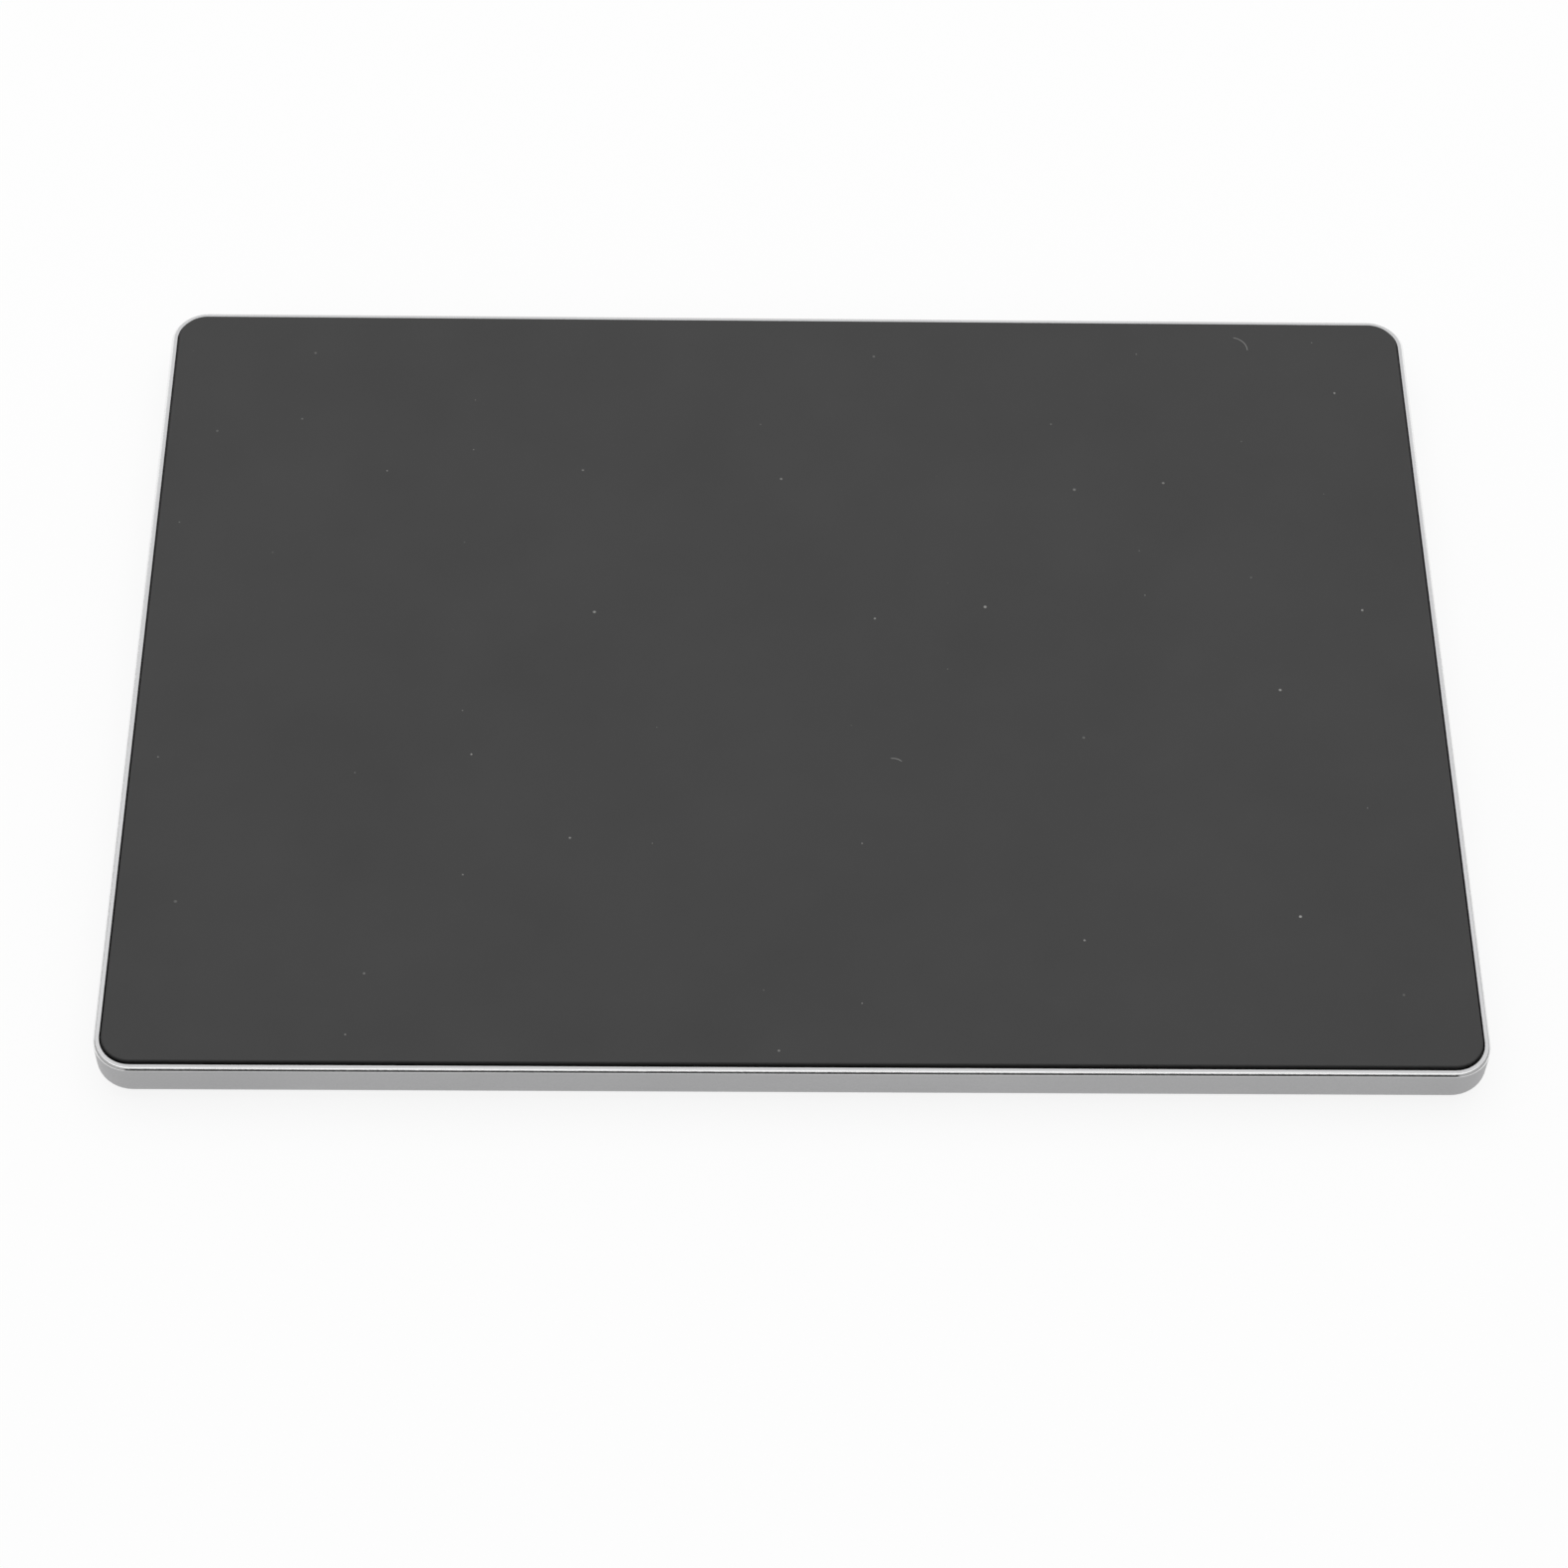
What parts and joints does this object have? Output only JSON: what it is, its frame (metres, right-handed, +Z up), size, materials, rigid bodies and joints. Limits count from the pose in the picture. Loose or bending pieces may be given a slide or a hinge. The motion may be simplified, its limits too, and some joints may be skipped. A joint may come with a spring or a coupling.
{
  "type": "trackpad",
  "caption": "Flat wireless trackpad: a dark glass plate in a thin silver aluminium case, hinged at the rear so that its front edge clicks, with a charging port behind.",
  "frame": {"origin": "on the desk, under the middle of the case", "axes": "+X to the user's right, +Y from the user towards the rear ports, +Z up"},
  "size_m": [0.16, 0.115, 0.0066],
  "materials": {
    "silver_aluminium": "bead-blasted, clear anodised, with a polished chamfer",
    "dark_glass": "fine matte etch over a dark grey back coating",
    "black_film": "matte black film",
    "cover_plastic": "fine spark-eroded texture",
    "window_plastic": "satin black",
    "foot_rubber": "matte",
    "screw_steel": "dark nickel plated",
    "plain_steel": "cold rolled",
    "pin_steel": "ground",
    "bearing_metal": "die-cast zinc, passivated",
    "spring_steel": "bright",
    "tinned_steel": "bright tin plate",
    "gold_plate": "gold flash",
    "circuit_board": "green solder mask",
    "chip_black": "moulded epoxy",
    "chip_tan": "fired ceramic with tinned ends",
    "adhesive": "clear to cream film",
    "flex_amber": "polyimide",
    "connector_ivory": "glass-filled nylon",
    "cell_foil": "pouch foil",
    "lead_red": "PVC",
    "lead_black": "PVC",
    "silicone_black": "moulded silicone",
    "slider_plastic": "satin grey",
    "button_plastic": "satin dark grey",
    "clear_plastic": "polished polycarbonate",
    "led_resin": "cast resin"
  },
  "bodies": {
    "case": {"case_frame": "silver_aluminium", "bottom_cover": "cover_plastic", "rear_window_left": "window_plastic", "rear_window_right": "window_plastic", "port_plate": "window_plastic", "gap_liner": "black_film", "cover_screws": "screw_steel", "hinge_screws": "screw_steel", "foot_front_left": "foot_rubber", "foot_front_right": "foot_rubber", "foot_rear_left": "foot_rubber", "foot_rear_right": "foot_rubber", "hinge_block_left": "bearing_metal", "hinge_block_right": "bearing_metal", "hinge_pin_left": "pin_steel", "hinge_pin_right": "pin_steel", "click_board": "circuit_board", "click_switch_base": "chip_black", "click_switch_cover": "tinned_steel", "click_dome": "gold_plate", "click_flex": "flex_amber", "return_springs": "spring_steel", "travel_stops": "silicone_black", "battery_cell": "cell_foil", "battery_tape": "adhesive", "protection_board": "circuit_board", "battery_lead_red": "lead_red", "battery_lead_black": "lead_black", "battery_plug": "connector_ivory", "battery_socket": "connector_ivory", "main_board": "circuit_board", "board_screws": "screw_steel", "radio_shield": "tinned_steel", "chip_antenna": "chip_tan", "board_chips": "chip_black", "board_connectors": "connector_ivory", "sensor_flex": "flex_amber", "usb_shell": "tinned_steel", "usb_tongue": "chip_black", "usb_contacts": "gold_plate", "power_switch": "chip_black", "pair_switch": "chip_black", "status_led": "led_resin", "light_pipe": "clear_plastic"},
    "touch_plate": {"glass_plate": "dark_glass", "glass_adhesive": "adhesive", "sensor_board": "circuit_board", "touch_controller": "chip_black", "sensor_passives": "chip_tan", "sensor_connector": "connector_ivory", "bond_film": "adhesive", "stiffener_plate": "plain_steel", "hinge_leaf_left": "plain_steel", "hinge_leaf_right": "plain_steel", "press_pad": "silicone_black"},
    "click_plunger": {"click_plunger": "button_plastic"},
    "power_slider": {"power_slider": "slider_plastic"},
    "pair_button": {"pair_button": "button_plastic"}
  },
  "joints": [
    {"name": "click_hinge", "type": "hinge", "parent": "case", "child": "touch_plate", "pos_m": [0, 0.049, 0.0036], "axis": [1, 0, 0], "range_deg": [0, 0.1477], "stiffness_Nm_per_rad": 10, "springref_deg": -0.69, "deforming": ["return_springs", "click_dome"]},
    {"name": "plunger_slide", "type": "slide", "parent": "case", "child": "click_plunger", "axis": [0, 0, -1], "range_m": [0, 0.00026]},
    {"name": "power_slide", "type": "slide", "parent": "case", "child": "power_slider", "axis": [1, 0, 0], "range_m": [0, 0.002]},
    {"name": "pair_press", "type": "slide", "parent": "case", "child": "pair_button", "axis": [0, -1, 0], "range_m": [0, 0.0003], "stiffness_N_per_m": 1500, "springref_m": -0.0005}
  ],
  "couplings": [
    {"joint": "plunger_slide", "follows": "click_hinge", "m_per_rad": 0.097}
  ]
}
